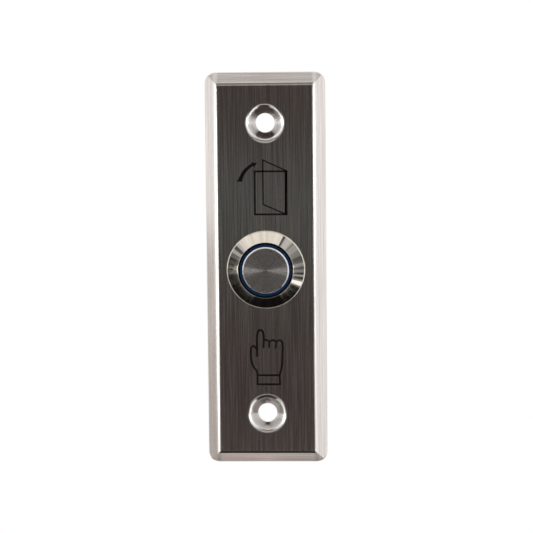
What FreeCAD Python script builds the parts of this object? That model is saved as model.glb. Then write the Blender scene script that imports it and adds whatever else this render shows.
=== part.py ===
"""Door-release pushbutton: a bevelled steel faceplate with a ring-lit metal pushbutton in its middle.

Row frame, in millimetres: +X right, +Z up, and the button faces -Y. The origin is on the wall plane,
where the button's axis crosses it. The faceplate is drawn in a frame that looks out of the wall, and
every piece of the switch in a frame that starts at the front of the button and runs into the wall.
"""
import FreeCAD, Part
import os
import re

import Sketcher
from FreeCAD import Placement, Rotation, Vector

# Driving sizes in millimetres, unless the note says degrees or a count.
SIZES = (
    ("face_margin", 1.8, "front face, width left beside the lock washer"),
    ("plate_h", 91.5, "faceplate, height over the rim"),
    ("plate_depth", 3.2, "faceplate, wall plane to front face"),
    ("sheet", 1.0, "faceplate, thickness of the pressed sheet"),
    ("bevel_w", 2.7, "bevel, width seen from the front"),
    ("bevel_drop", 2.2, "bevel, drop from the face to the rim"),
    ("rim_corner_r", 2.6, "rim, corner radius"),
    ("pan_corner_r", 0.4, "back of the front face, corner radius"),
    ("bend_r", 1.2, "bend between face and bevel, outside radius"),
    ("rim_round_r", 0.4, "edge between bevel and rim, radius"),
    ("screw_spacing", 68.0, "screw holes, centre to centre"),
    ("screw_hole_d", 4.5, "screw hole, diameter"),
    ("lip_r", 1.5, "screw dimple, outside radius of its lip"),
    ("cone_slope", 46.0, "screw dimple, slope of its cone in degrees"),
    ("land_h", 1.29, "screw dimple, height of the hole's straight land"),
    ("thread_d", 16.0, "switch barrel, thread diameter"),
    ("panel_play", 0.15, "radial play of the barrel in the faceplate"),
    ("gasket_t", 0.5, "flange gasket, thickness"),
    ("gasket_inset", 0.4, "flange gasket, set in from the flange's edge"),
    ("flange_lip", 1.1, "switch flange, reach beyond the thread"),
    ("flange_rim", 0.6, "switch flange, height of its rim with the edge bevel"),
    ("flange_edge", 0.25, "switch flange, bevel on its outer edge"),
    ("flange_h", 2.2, "switch flange, height over the gasket"),
    ("crown_w", 0.2, "switch flange, flat land round the button"),
    ("head_wall", 1.6, "bore that the button moves in, depth below the thread's crest"),
    ("cap_edge", 0.32, "button cap, bevel on its edge"),
    ("cap_t", 0.8, "button cap, thickness of its disc"),
    ("cap_proud", 0.3, "button cap, height over the flange"),
    ("stud_d", 2.8, "stud under the cap, diameter"),
    ("stud_l", 3.8, "stud under the cap, length"),
    ("ring_gap", 0.35, "light ring, gap to the bore"),
    ("ring_w", 0.62, "light ring, width from its outside to the cap"),
    ("ring_recess", 0.35, "light ring, depth below the cap's face"),
    ("ring_edge", 0.15, "light ring, bevel on its outer edge"),
    ("guide_head_t", 1.7, "light guide, thickness of its head under the cap"),
    ("stem_d", 8.4, "light guide, stem diameter"),
    ("stem_tail", 0.85, "light guide, stem below its clip"),
    ("socket_l", 3.5, "light guide, depth of the hole for the carrier"),
    ("fit_play", 0.03, "radial play between pieces that are pushed together"),
    ("running_play", 0.05, "radial play between pieces that slide or screw"),
    ("travel", 2.5, "button travel"),
    ("end_gap", 0.3, "gap left when the button is pressed home"),
    ("seal_margin", 0.4, "guide bore beyond the seal at each end of travel"),
    ("groove_w", 1.1, "seal groove, width"),
    ("groove_depth", 0.85, "seal groove, depth in the stem"),
    ("clip_t", 0.7, "retaining clip, thickness"),
    ("clip_depth", 0.7, "retaining clip, depth of its groove in the stem"),
    ("clip_rim", 1.0, "retaining clip, reach beyond the stem"),
    ("clip_mouth", 2.6, "retaining clip, width of its open side"),
    ("wire_d", 0.6, "return spring, wire diameter"),
    ("spring_gap", 0.2, "return spring, gap to the stem"),
    ("spring_turns", 3.5, "return spring, count of turns"),
    ("spring_spare", 1.25, "return spring, gaps left when pressed home"),
    ("board_play", 0.1, "lamp board, gap to the barrel"),
    ("board_t", 0.8, "lamp board, thickness"),
    ("board_clear", 0.4, "lamp board, gap from its hole to the carrier"),
    ("lamp_margin", 0.6, "lamps, distance from the lamp board's hole"),
    ("lamp_l", 1.6, "lamp, length"),
    ("lamp_w", 0.8, "lamp, width"),
    ("lamp_t", 0.8, "lamp, height"),
    ("lamp_count", 4, "lamps, count"),
    ("barrel_wall", 1.4, "barrel, wall round its rear socket"),
    ("plug_l", 3.2, "rear housing, length plugged into the barrel"),
    ("housing_step", 0.7, "rear housing, step in from the barrel"),
    ("housing_wall", 1.0, "rear housing, wall of its plug"),
    ("deck_t", 1.2, "rear housing, deck under the lamp board"),
    ("deck_clear", 0.3, "rear housing, gap from its deck's hole to the carrier"),
    ("barrel_edge", 0.4, "barrel, bevel at its rear end"),
    ("carrier_d", 3.4, "contact carrier, shaft diameter"),
    ("foot_gap", 0.6, "contact carrier, gap from deck to foot at rest"),
    ("foot_l", 2.4, "contact carrier, length of its foot"),
    ("foot_span", 5.4, "contact carrier, span of its foot along the contacts"),
    ("wiper_t", 0.2, "wiper, thickness of its strip"),
    ("arm_spread", 1.1, "wiper, reach of its knees beyond the foot"),
    ("tip_tuck", 0.6, "wiper, tips in from the knees"),
    ("tip_setback", 0.3, "wiper, tips below the foot's top"),
    ("knee_setback", 1.4, "wiper, knees below the foot's top"),
    ("arm_gap", 2.2, "wiper, slot between its two narrow arms"),
    ("blade_t", 0.4, "terminal blade, thickness"),
    ("blade_gap", 0.05, "terminal blade, gap to the wiper's knee"),
    ("contact_land", 0.9, "terminal blade, contact length each side of the knee"),
    ("jog", 0.6, "normally closed blade, jog away from the wiper"),
    ("contact_margin", 1.28, "normally closed blade, distance from the chamber's wall"),
    ("wide_blade", 2.4, "common terminal, width"),
    ("narrow_blade", 1.6, "changeover and lamp terminals, width"),
    ("changeover_y", 1.9, "changeover terminals, set off from the centre plane"),
    ("lamp_blade_y", 3.2, "lamp terminals, distance from the axis"),
    ("base_t", 2.0, "terminal base, thickness"),
    ("tail_l", 5.5, "terminals, length behind the housing"),
    ("tail_edge", 0.4, "terminals, bevel on the tail's corners"),
    ("eye_w", 0.7, "terminals, width of the solder eye"),
    ("eye_l", 0.9, "terminals, length of the solder eye between its arc centres"),
    ("eye_setback", 1.9, "terminals, solder eye from the tail's end"),
    ("washer_t", 0.6, "lock washer, thickness"),
    ("washer_rim", 1.45, "lock washer, width of its ring"),
    ("tooth_count", 12, "lock washer, count of teeth"),
    ("tooth_gap", 1.3, "lock washer, width of the gap between teeth"),
    ("tooth_l", 0.8, "lock washer, length of its teeth"),
    ("nut_wall", 1.5, "panel nut, wall from the thread to a flat"),
    ("nut_t", 3.5, "panel nut, thickness"),
    ("nut_slope", 30.0, "panel nut, slope of its corner bevel in degrees"),
)
NAMES = {name for name, _, _ in SIZES}

# Radii of the switch, from its thread inwards and outwards.
FLANGE_R = "thread_d / 2 + flange_lip"
BORE_R = "thread_d / 2 - head_wall"
RING_R = f"{BORE_R} - ring_gap"
CAP_R = f"{RING_R} - ring_w"
CLIP_R = "stem_d / 2 + clip_rim"
SPRING_R = "stem_d / 2 + spring_gap + wire_d / 2"
SOCKET_R = "thread_d / 2 - barrel_wall"
HOUSING_R = "thread_d / 2 - housing_step"
CHAMBER_R = f"{SOCKET_R} - housing_wall + fit_play"
BOARD_HOLE_R = "carrier_d / 2 + board_clear"
DECK_HOLE_R = "carrier_d / 2 + deck_clear"
LAMP_RING_R = f"{BOARD_HOLE_R} + lamp_margin + lamp_w / 2"
WASHER_R = "thread_d / 2 + running_play + washer_rim"
NUT_FLAT = "thread_d / 2 + nut_wall"

# The contacts, measured from the axis out to the chamber's wall.
BLADE_X = f"{CHAMBER_R} - contact_margin - jog - blade_t"
WIPER_REACH = f"{BLADE_X} - blade_gap"
FOOT_REACH = f"{WIPER_REACH} - arm_spread"

# Faceplate, measured out of the wall. The inside follows the outside at the sheet's thickness.
PLATE_W = f"2 * ({WASHER_R} + face_margin + bevel_w)"
LIP_H = "plate_depth - bevel_drop"
BEVEL_L = "sqrt(bevel_w ^ 2 + bevel_drop ^ 2)"
INNER_LIP_H = f"{LIP_H} - sheet * ({BEVEL_L} - bevel_drop) / bevel_w"
INNER_BEVEL_W = f"bevel_w - sheet + sheet * ({BEVEL_L} - bevel_w) / bevel_drop"
CONE_H = "plate_depth - lip_r + lip_r * cos(cone_slope) - land_h"
DIMPLE_R = f"screw_hole_d / 2 + lip_r * sin(cone_slope) + ({CONE_H}) / tan(cone_slope)"

# Stations along the switch, measured into the wall from the front of the button.
FLANGE_TOP = "cap_proud"
FLANGE_BACK = f"{FLANGE_TOP} + flange_h"
PLATE_FRONT = f"{FLANGE_BACK} + gasket_t"
PLATE_BACK = f"{PLATE_FRONT} + sheet"
NUT_TOP = f"{PLATE_BACK} + washer_t"
HEAD_END = "cap_t + guide_head_t"
WEB_TOP = f"{HEAD_END} + travel + end_gap"
GROOVE_TOP = f"{WEB_TOP} + seal_margin"
WEB_END = f"{GROOVE_TOP} + groove_w + travel + seal_margin"
CLIP_TOP = f"{WEB_END} + running_play"
CLIP_END = f"{CLIP_TOP} + clip_t"
STEM_END = f"{CLIP_END} + stem_tail"
BOARD_TOP = f"{CLIP_END} + spring_turns * wire_d + travel + spring_spare"
BOARD_END = f"{BOARD_TOP} + board_t"
BARREL_END = f"{BOARD_END} + plug_l"
DECK_END = f"{BOARD_END} + deck_t"
FOOT_TOP = f"{DECK_END} + foot_gap"
FOOT_END = f"{FOOT_TOP} + foot_l"
KNEE = f"{FOOT_TOP} + knee_setback"
BASE_TOP = f"{FOOT_END} + wiper_t + travel + end_gap"
HOUSING_END = f"{BASE_TOP} + base_t"
TAIL_END = f"{HOUSING_END} + tail_l"

doc = FreeCAD.newDocument("Pushbutton")
sheet = doc.addObject("Spreadsheet::Sheet", "Sizes")
pieces = []


def fill_sheet():
    """Writes every driving size into the sheet, with its alias and its note."""
    for row, (name, size, note) in enumerate(SIZES, start=1):
        sheet.set(f"A{row}", name)
        sheet.set(f"B{row}", str(size))
        sheet.setAlias(f"B{row}", name)
        sheet.set(f"C{row}", note)
    doc.recompute()


def tied(text):
    """The expression, with each size's name turned into a reference to the sheet."""
    return re.sub(r"[a-z_]+", lambda word: "Sizes." * (word.group() in NAMES) + word.group(), text)


def size(text):
    """What an expression comes to now."""
    return float(sheet.evalExpression(tied(text)))


def new_piece(label, inward=True, turn=0.0):
    """A body for one sub-part. Inward bodies start at the button's front and run into the wall."""
    body = doc.addObject("PartDesign::Body", label)
    body.Label = label
    tilt = Rotation(Vector(1, 0, 0), -90 if inward else 90)
    body.Placement = Placement(Vector(), tilt * Rotation(Vector(0, 0, 1), turn))
    if inward:
        body.setExpression("Placement.Base.y", tied(f"-1 * ({PLATE_FRONT}) - plate_depth"))
    pieces.append(body)
    return body


def new_sketch(body, name, role, lift=None):
    """A sketch on one of the body's own origin planes, lifted off it by an expression."""
    drawing = body.newObject("Sketcher::SketchObject", name)
    plane = next(f for f in body.Origin.OriginFeatures if f.Role == role)
    drawing.AttachmentSupport = [(plane, "")]
    drawing.MapMode = "FlatFace"
    if lift is not None:
        drawing.setExpression("AttachmentOffset.Base.z", tied(lift))
    return drawing


def dimension(drawing, kind, where, text):
    """Adds a dimension whose value is an expression of the sheet."""
    number = drawing.addConstraint(Sketcher.Constraint(kind, *where, size(text)))
    drawing.setExpression(f"Constraints[{number}]", tied(text))


def pin(drawing, item, end, x, y):
    """Fixes a point of an item at two expressions, or on an axis where one of them is zero."""
    for text, kind, axis in ((x, "DistanceX", -2), (y, "DistanceY", -1)):
        place = size(text)
        if place == 0:
            drawing.addConstraint(Sketcher.Constraint("PointOnObject", item, end, axis))
        elif place > 0:
            dimension(drawing, kind, (-1, 1, item, end), text)
        else:
            dimension(drawing, kind, (item, end, -1, 1), f"-1 * ({text})")


def polygon(drawing, corners):
    """A closed outline of straight lines through corners, each a pair of expressions."""
    spots = [Vector(size(x), size(y), 0) for x, y in corners]
    first = drawing.GeometryCount
    for start, end in zip(spots, spots[1:] + spots[:1]):
        drawing.addGeometry(Part.LineSegment(start, end))
    for step, (x, y) in enumerate(corners):
        following = first + (step + 1) % len(corners)
        drawing.addConstraint(Sketcher.Constraint("Coincident", first + step, 2, following, 1))
        pin(drawing, first + step, 1, x, y)


def rectangle(drawing, x_low, x_high, y_low, y_high):
    """An upright rectangle between four expressions."""
    polygon(drawing, [(x_low, y_low), (x_high, y_low), (x_high, y_high), (x_low, y_high)])


def circle(drawing, radius, x="0", y="0"):
    """A circle about a pinned centre."""
    item = drawing.addGeometry(Part.Circle(Vector(size(x), size(y), 0), Vector(0, 0, 1), size(radius)))
    dimension(drawing, "Radius", (item,), radius)
    pin(drawing, item, 3, x, y)


def octagon(drawing, width, x, y):
    """A regular octagon about a point, as wide as its opposite sides are apart."""
    far, near = f"{width} / 2", f"{width} / 2 * tan(22.5)"
    polygon(drawing, [
        (f"{x} + {far}", f"{y} - {near}"), (f"{x} + {far}", f"{y} + {near}"),
        (f"{x} + {near}", f"{y} + {far}"), (f"{x} - {near}", f"{y} + {far}"),
        (f"{x} - {far}", f"{y} + {near}"), (f"{x} - {far}", f"{y} - {near}"),
        (f"{x} - {near}", f"{y} - {far}"), (f"{x} + {near}", f"{y} - {far}")])


def rounded_rectangle(drawing, width, height, radius):
    """A rectangle about the origin with rounded corners, each arc tangent to its two sides."""
    half_w, half_h, r = size(width) / 2, size(height) / 2, size(radius)
    quarter = 90
    sides, corners = [], []
    for step in range(4):
        turned = Rotation(Vector(0, 0, 1), quarter * step)
        across, along = (half_w, half_h) if step % 2 == 0 else (half_h, half_w)
        start, end = Vector(across, r - along, 0), Vector(across, along - r, 0)
        sides.append(drawing.addGeometry(Part.LineSegment(turned.multVec(start), turned.multVec(end))))
        centre = turned.multVec(Vector(across - r, along - r, 0))
        middle = turned.multVec(Vector(across - r, along - r, 0) + Rotation(
            Vector(0, 0, 1), quarter / 2).multVec(Vector(r, 0, 0)))
        tip = centre + turned.multVec(Vector(0, r, 0))
        corners.append(drawing.addGeometry(Part.Arc(turned.multVec(end), middle, tip)))
    for step in range(4):
        drawing.addConstraint(Sketcher.Constraint("Tangent", sides[step], 2, corners[step], 1))
        following = sides[(step + 1) % 4]
        drawing.addConstraint(Sketcher.Constraint("Tangent", corners[step], 2, following, 1))
        level = "Vertical" if step % 2 == 0 else "Horizontal"
        drawing.addConstraint(Sketcher.Constraint(level, sides[step]))
    for corner in corners[1:]:
        drawing.addConstraint(Sketcher.Constraint("Equal", corners[0], corner))
    dimension(drawing, "Radius", (corners[0],), radius)
    pin(drawing, corners[0], 3, f"({width}) / 2 - ({radius})", f"({height}) / 2 - ({radius})")
    pin(drawing, corners[2], 3, f"({radius}) - ({width}) / 2", f"({radius}) - ({height}) / 2")


def slot(drawing, width, length, x, y):
    """An oblong hole that runs along the drawing's Y, about a pinned centre."""
    r, reach = size(width) / 2, size(length) / 2
    middle = Vector(size(x), size(y), 0)
    up, across = Vector(0, reach, 0), Vector(r, 0, 0)
    high, low, crest = middle + up, middle - up, Vector(0, r, 0)
    top = drawing.addGeometry(Part.Arc(high + across, high + crest, high - across))
    left = drawing.addGeometry(Part.LineSegment(high - across, low - across))
    foot = drawing.addGeometry(Part.Arc(low - across, low - crest, low + across))
    right = drawing.addGeometry(Part.LineSegment(low + across, high + across))
    for one, other in ((top, left), (left, foot), (foot, right), (right, top)):
        drawing.addConstraint(Sketcher.Constraint("Tangent", one, 2, other, 1))
    drawing.addConstraint(Sketcher.Constraint("Equal", top, foot))
    dimension(drawing, "Radius", (top,), f"{width} / 2")
    pin(drawing, top, 3, x, f"{y} + {length} / 2")
    pin(drawing, foot, 3, x, f"{y} - {length} / 2")


def turned(body, name, drawing, axis="V_Axis", cut=False):
    """A full turn of a drawing about one of its axes, added or cut."""
    feature = body.newObject("PartDesign::Groove" if cut else "PartDesign::Revolution", name)
    feature.Profile = drawing
    feature.ReferenceAxis = (drawing, [axis])
    feature.Angle = 360
    doc.recompute()
    return feature


def padded(body, name, drawing, length, midplane=False, backwards=False):
    """A straight extrusion of a drawing."""
    feature = body.newObject("PartDesign::Pad", name)
    feature.Profile = drawing
    feature.setExpression("Length", tied(length))
    feature.Midplane = midplane
    feature.Reversed = backwards
    doc.recompute()
    return feature


def pierced(body, name, drawing):
    """A cut right through the body, both ways from the drawing. It has to remove something."""
    before = body.Shape.Volume
    feature = body.newObject("PartDesign::Pocket", name)
    feature.Profile = drawing
    feature.Type = "ThroughAll"
    feature.Midplane = True
    doc.recompute()
    if body.Shape.Volume >= before:
        raise RuntimeError(f"{name} cuts nothing from {body.Label}")
    return feature


def sunk(body, name, drawing, depth):
    """A cut of a given depth along the drawing's normal. It has to remove something."""
    before = body.Shape.Volume
    feature = body.newObject("PartDesign::Pocket", name)
    feature.Profile = drawing
    feature.Reversed = True
    feature.setExpression("Length", tied(depth))
    doc.recompute()
    if body.Shape.Volume >= before:
        raise RuntimeError(f"{name} cuts nothing from {body.Label}")
    return feature


def repeated(body, name, feature, count):
    """Copies of a feature all round the body's Z axis."""
    pattern = body.newObject("PartDesign::PolarPattern", name)
    pattern.Originals = [feature]
    pattern.Axis = (next(f for f in body.Origin.OriginFeatures if f.Role == "Z_Axis"), [""])
    pattern.Angle = 360
    pattern.setExpression("Occurrences", tied(count))
    body.Tip = pattern
    doc.recompute()
    return pattern


def edges(feature, test):
    """Names of the feature's edges that pass a test."""
    return [f"Edge{n}" for n, edge in enumerate(feature.Shape.Edges, start=1) if test(edge)]


def dressed(body, name, kind, feature, names, amount):
    """A fillet or chamfer on named edges, as large as an expression says."""
    finish = body.newObject(f"PartDesign::{kind}", name)
    finish.Base = (feature, names)
    finish.setExpression("Radius" if kind == "Fillet" else "Size", tied(amount))
    doc.recompute()
    return finish


def lies_at(edge, height):
    """Whether a whole edge lies at one height."""
    box = edge.BoundBox
    return abs(box.ZMin - height) < 1e-4 and abs(box.ZMax - height) < 1e-4


def lofted(body, name, lower, upper, cut=False):
    """Straight walls between two drawings of like corners, added or cut."""
    before = body.Shape.Volume
    feature = body.newObject("PartDesign::SubtractiveLoft" if cut else "PartDesign::AdditiveLoft", name)
    feature.Profile = lower
    feature.Sections = [upper]
    feature.Ruled = True
    doc.recompute()
    if cut and body.Shape.Volume >= before:
        raise RuntimeError(f"{name} cuts nothing from {body.Label}")
    return feature


def upright(body, name, lift, width, height):
    """A sharp-cornered rectangle about the axis, lifted out of the wall plane."""
    drawing = new_sketch(body, name, "XY_Plane", lift)
    rectangle(drawing, f"-1 * ({width}) / 2", f"({width}) / 2", f"-1 * ({height}) / 2", f"({height}) / 2")
    return drawing


def outline(body, name, lift, width, height, radius):
    """A rounded rectangle lifted out of the wall plane."""
    drawing = new_sketch(body, name, "XY_Plane", lift)
    rounded_rectangle(drawing, width, height, radius)
    return drawing


def dimple_section(body):
    """The sheet's section through one screw dimple, with the dimple's axis as its own line."""
    drawing = new_sketch(body, "DimpleSection", "YZ_Plane")
    centre = "screw_spacing / 2"
    reach, hole, slope = size(DIMPLE_R), size("screw_hole_d / 2"), size("cone_slope")
    far, face, skin, lip = reach + size("sheet"), size("plate_depth"), size("sheet"), size("lip_r")
    radial, upward = Vector(1, 0, 0), Vector(0, 1, 0)
    axis_foot = Vector(size(centre), 0, 0)
    bend = axis_foot + radial * reach + upward * (face - lip)
    lean = Rotation(Vector(0, 0, 1), slope).multVec(upward)
    half_lean = Rotation(Vector(0, 0, 1), slope / 2).multVec(upward)
    down = Rotation(Vector(0, 0, 1), slope).multVec(-radial)
    front_start, back_start = bend + lean * lip, bend + lean * (lip - skin)
    front_end = front_start + down * ((front_start.x - axis_foot.x - hole) / -down.x)
    back_end = back_start + down * (back_start.y / -down.y)
    land_foot = axis_foot + radial * hole
    face_far = axis_foot + radial * far + upward * face
    back_far = face_far - upward * skin
    steps = [
        Part.LineSegment(face_far, bend + upward * lip),
        Part.Arc(bend + upward * lip, bend + half_lean * lip, front_start),
        Part.LineSegment(front_start, front_end),
        Part.LineSegment(front_end, land_foot),
        Part.LineSegment(land_foot, back_end),
        Part.LineSegment(back_end, back_start),
        Part.Arc(back_start, bend + half_lean * (lip - skin), bend + upward * (lip - skin)),
        Part.LineSegment(bend + upward * (lip - skin), back_far),
        Part.LineSegment(back_far, face_far),
    ]
    top, lip_arc, cone, land, floor, back, back_arc, under, outer = (drawing.addGeometry(s) for s in steps)
    smooth = {(top, lip_arc), (lip_arc, cone), (back, back_arc), (back_arc, under)}
    order = [top, lip_arc, cone, land, floor, back, back_arc, under, outer]
    for one, other in zip(order, order[1:] + order[:1]):
        # An arc's ends are counted anticlockwise, and the back arc is drawn clockwise.
        leaves, meets = (1 if one == back_arc else 2), (2 if other == back_arc else 1)
        joint = "Tangent" if (one, other) in smooth else "Coincident"
        drawing.addConstraint(Sketcher.Constraint(joint, one, leaves, other, meets))
    for line in (top, floor, under):
        drawing.addConstraint(Sketcher.Constraint("Horizontal", line))
    for line in (land, outer):
        drawing.addConstraint(Sketcher.Constraint("Vertical", line))
    drawing.addConstraint(Sketcher.Constraint("Coincident", lip_arc, 3, back_arc, 3))
    drawing.addConstraint(Sketcher.Constraint("Parallel", cone, back))
    drawing.addConstraint(Sketcher.Constraint("PointOnObject", land, 2, -1))
    dimension(drawing, "Radius", (lip_arc,), "lip_r")
    dimension(drawing, "Radius", (back_arc,), "lip_r - sheet")
    pin(drawing, lip_arc, 3, f"{centre} + {DIMPLE_R}", "plate_depth - lip_r")
    dimension(drawing, "DistanceX", (-1, 1, land, 2), f"{centre} + screw_hole_d / 2")
    dimension(drawing, "DistanceX", (-1, 1, top, 1), f"{centre} + {DIMPLE_R} + sheet")
    number = drawing.addConstraint(Sketcher.Constraint("Angle", -1, 1, cone, 2, FreeCAD.Units.Quantity(
        f"{slope} deg")))
    drawing.setExpression(f"Constraints[{number}]", tied("cone_slope"))
    axis = drawing.addGeometry(Part.LineSegment(axis_foot, axis_foot + upward * face), True)
    pin(drawing, axis, 1, centre, "0")
    pin(drawing, axis, 2, centre, "plate_depth")
    return drawing


def faceplate():
    """Pressed sheet: bevelled pan, two dimples for countersunk screws and the switch's bore."""
    body = new_piece("faceplate", inward=False)
    rim = upright(body, "Rim", "0", PLATE_W, "plate_h")
    padded(body, "RimBand", rim, LIP_H)
    foot = upright(body, "BevelFoot", LIP_H, PLATE_W, "plate_h")
    face_w, face_h = f"{PLATE_W} - 2 * bevel_w", "plate_h - 2 * bevel_w"
    top = upright(body, "BevelTop", "plate_depth", face_w, face_h)
    shell = lofted(body, "Bevel", foot, top)
    bend = edges(shell, lambda e: lies_at(e, size("plate_depth")))
    dressed(body, "FaceBend", "Fillet", shell, bend, "bend_r")
    corners = new_sketch(body, "Corners", "XY_Plane")
    rectangle(corners, f"-1 * {PLATE_W}", PLATE_W, "-1 * plate_h", "plate_h")
    rounded_rectangle(corners, PLATE_W, "plate_h", "rim_corner_r")
    shell = pierced(body, "CornerRounding", corners)
    ridge = edges(shell, lambda e: abs(e.BoundBox.ZMin - size(LIP_H)) < 1e-4)
    dressed(body, "RimRound", "Fillet", shell, ridge, "rim_round_r")
    inner_w, inner_h = f"{PLATE_W} - 2 * sheet", "plate_h - 2 * sheet"
    inner_rim = outline(body, "InnerRim", "0", inner_w, inner_h, "rim_corner_r - sheet")
    sunk(body, "InnerBand", inner_rim, INNER_LIP_H)
    inner_foot = outline(body, "InnerFoot", INNER_LIP_H, inner_w, inner_h, "rim_corner_r - sheet")
    narrow, low = f"{inner_w} - 2 * ({INNER_BEVEL_W})", f"{inner_h} - 2 * ({INNER_BEVEL_W})"
    inner_top = outline(body, "InnerTop", "plate_depth - sheet", narrow, low, "pan_corner_r")
    lofted(body, "InnerBevel", inner_foot, inner_top, cut=True)
    openings = new_sketch(body, "Openings", "XY_Plane")
    circle(openings, "thread_d / 2 + panel_play")
    circle(openings, DIMPLE_R, "0", "screw_spacing / 2")
    circle(openings, DIMPLE_R, "0", "-1 * screw_spacing / 2")
    pierced(body, "Punching", openings)
    dimple = turned(body, "Dimple", dimple_section(body), "Axis0")
    pair = body.newObject("PartDesign::Mirrored", "DimplePair")
    pair.Originals = [dimple]
    pair.MirrorPlane = (next(f for f in body.Origin.OriginFeatures if f.Role == "XZ_Plane"), [""])
    body.Tip = pair
    doc.recompute()


def ring(label, inner, outer, start, length):
    """A flat ring about the switch's axis."""
    body = new_piece(label)
    drawing = new_sketch(body, "Ring", "XY_Plane", start)
    circle(drawing, inner)
    circle(drawing, outer)
    return body, padded(body, "Thickness", drawing, length)


def switch_shell():
    """Flange and barrel turned in one piece, with a web that guides the plunger."""
    body = new_piece("switch_shell")
    drawing = new_sketch(body, "Section", "XZ_Plane")
    barrel, guide = "thread_d / 2", "stem_d / 2 + running_play"
    cone_foot = f"{FLANGE_BACK} - flange_rim"
    polygon(drawing, [
        (BORE_R, FLANGE_TOP), (f"{BORE_R} + crown_w", FLANGE_TOP),
        (f"{FLANGE_R} - flange_edge", cone_foot), (FLANGE_R, f"{cone_foot} + flange_edge"),
        (FLANGE_R, FLANGE_BACK), (barrel, FLANGE_BACK), (barrel, BARREL_END),
        (SOCKET_R, BARREL_END), (SOCKET_R, WEB_END), (guide, WEB_END),
        (guide, WEB_TOP), (BORE_R, WEB_TOP)])
    shell = turned(body, "Turning", drawing)
    rear = edges(shell, lambda e: lies_at(e, size(BARREL_END)) and e.BoundBox.XMax > size(barrel) - 1e-3)
    dressed(body, "RearEdge", "Chamfer", shell, rear, "barrel_edge")


def lock_washer():
    """Washer with teeth round its inside."""
    body, washer = ring("lock_washer", "thread_d / 2 + running_play", WASHER_R, PLATE_BACK, "washer_t")
    drawing = new_sketch(body, "ToothGap", "XY_Plane", PLATE_BACK)
    start, end = "thread_d / 2 - tooth_l / 2", "thread_d / 2 + running_play + tooth_l"
    rectangle(drawing, start, end, "-1 * tooth_gap / 2", "tooth_gap / 2")
    gap = sunk(body, "Gap", drawing, "washer_t")
    repeated(body, "Teeth", gap, "tooth_count")


def panel_nut():
    """Hexagon nut, with its rear corners bevelled."""
    body = new_piece("panel_nut")
    drawing = new_sketch(body, "Hexagon", "XY_Plane", NUT_TOP)
    half, corner = f"({NUT_FLAT}) * tan(30)", f"({NUT_FLAT}) / cos(30)"
    polygon(drawing, [
        (NUT_FLAT, half), ("0", corner), (f"-1 * ({NUT_FLAT})", half),
        (f"-1 * ({NUT_FLAT})", f"-1 * {half}"), ("0", f"-1 * {corner}"), (NUT_FLAT, f"-1 * {half}")])
    circle(drawing, "thread_d / 2 + running_play")
    padded(body, "Thickness", drawing, "nut_t")
    bevel = new_sketch(body, "CornerBevel", "XZ_Plane")
    nut_end, beyond = f"{NUT_TOP} + nut_t", f"2 * ({NUT_FLAT})"
    polygon(bevel, [
        (NUT_FLAT, nut_end), (NUT_FLAT, f"{nut_end} + nut_t"), (beyond, f"{nut_end} + nut_t"),
        (beyond, f"{nut_end} - ({NUT_FLAT}) * tan(nut_slope)")])
    turned(body, "CornerCut", bevel, cut=True)


def button_cap():
    """Metal disc that the finger presses, with the stud that holds it in the light guide."""
    body = new_piece("button_cap")
    drawing = new_sketch(body, "Section", "XZ_Plane")
    polygon(drawing, [
        ("0", "0"), (f"{CAP_R} - cap_edge", "0"), (CAP_R, "cap_edge"), (CAP_R, "cap_t"),
        ("stud_d / 2", "cap_t"), ("stud_d / 2", "cap_t + stud_l"), ("0", "cap_t + stud_l")])
    turned(body, "Turning", drawing)


def light_guide():
    """Clear plunger: the ring that lights up round the cap, and the stem that slides in the web."""
    body = new_piece("light_guide")
    drawing = new_sketch(body, "Section", "XZ_Plane")
    stem, seat = "stem_d / 2", f"{CAP_R} + fit_play"
    groove, clip = f"{stem} - groove_depth", f"{stem} - clip_depth"
    stud_hole, peg_hole = "stud_d / 2 + fit_play", "carrier_d / 2 + fit_play"
    polygon(drawing, [
        (seat, "cap_t"), (seat, "ring_recess"), (f"{RING_R} - ring_edge", "ring_recess"),
        (RING_R, "ring_recess + ring_edge"), (RING_R, HEAD_END), (stem, HEAD_END),
        (stem, GROOVE_TOP), (groove, GROOVE_TOP), (groove, f"{GROOVE_TOP} + groove_w"),
        (stem, f"{GROOVE_TOP} + groove_w"), (stem, CLIP_TOP), (clip, CLIP_TOP), (clip, CLIP_END),
        (stem, CLIP_END), (stem, STEM_END), (peg_hole, STEM_END), (peg_hole, f"{STEM_END} - socket_l"),
        ("0", f"{STEM_END} - socket_l"), ("0", "cap_t + stud_l + fit_play"),
        (stud_hole, "cap_t + stud_l + fit_play"), (stud_hole, "cap_t")])
    turned(body, "Moulding", drawing)


def plunger_seal():
    """Seal ring that fills the stem's groove and rubs in the web's bore."""
    body = new_piece("plunger_seal")
    drawing = new_sketch(body, "Section", "XZ_Plane")
    inner, outer = "stem_d / 2 - groove_depth + fit_play / 2", "stem_d / 2 + running_play - fit_play / 2"
    middle, half = f"{GROOVE_TOP} + groove_w / 2", f"({outer} - ({inner})) / 2"
    rectangle(drawing, inner, outer, f"{middle} - {half}", f"{middle} + {half}")
    turned(body, "Turning", drawing)


def retaining_clip():
    """Open ring in the stem's lower groove, which stops the plunger at the web."""
    inner = "stem_d / 2 - clip_depth + fit_play / 2"
    body, _ = ring("retaining_clip", inner, CLIP_R, CLIP_TOP, "clip_t")
    drawing = new_sketch(body, "Mouth", "XY_Plane", CLIP_TOP)
    rectangle(drawing, "0", f"2 * ({CLIP_R})", "-1 * clip_mouth / 2", "clip_mouth / 2")
    sunk(body, "OpenSide", drawing, "clip_t")


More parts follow.
